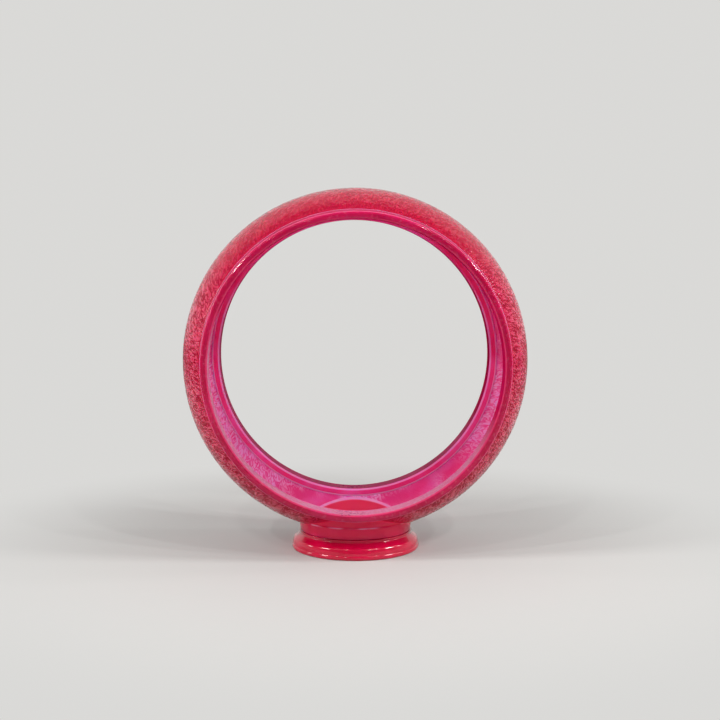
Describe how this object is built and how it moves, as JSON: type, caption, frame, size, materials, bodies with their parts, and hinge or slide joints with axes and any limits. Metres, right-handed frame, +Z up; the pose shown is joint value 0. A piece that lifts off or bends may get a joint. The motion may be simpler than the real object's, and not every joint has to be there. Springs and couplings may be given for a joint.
{
  "type": "gas pump globe body",
  "caption": "Upright red ripple-glass ring, open front and back between smooth lens rims, on a short hollow neck and a flared round foot.",
  "frame": {"origin": "centre of the foot ring's underside, on the surface that it stands on", "axes": "+Z up through the neck and the ring's centre, -Y towards the front opening, +X to the right as seen from the front"},
  "size_m": [0.409, 0.181, 0.4285],
  "materials": {
    "ripple_glass": "glossy, rippled outside",
    "smooth_glass": "glossy, fire polished",
    "foot_red": "high gloss",
    "seal_rubber": "matte"
  },
  "bodies": {
    "root": {"ripple_shell": "ripple_glass", "front_lens_rim": "smooth_glass", "rear_lens_rim": "smooth_glass", "foot_ring": "foot_red", "neck_seal": "seal_rubber"}
  },
  "joints": []
}
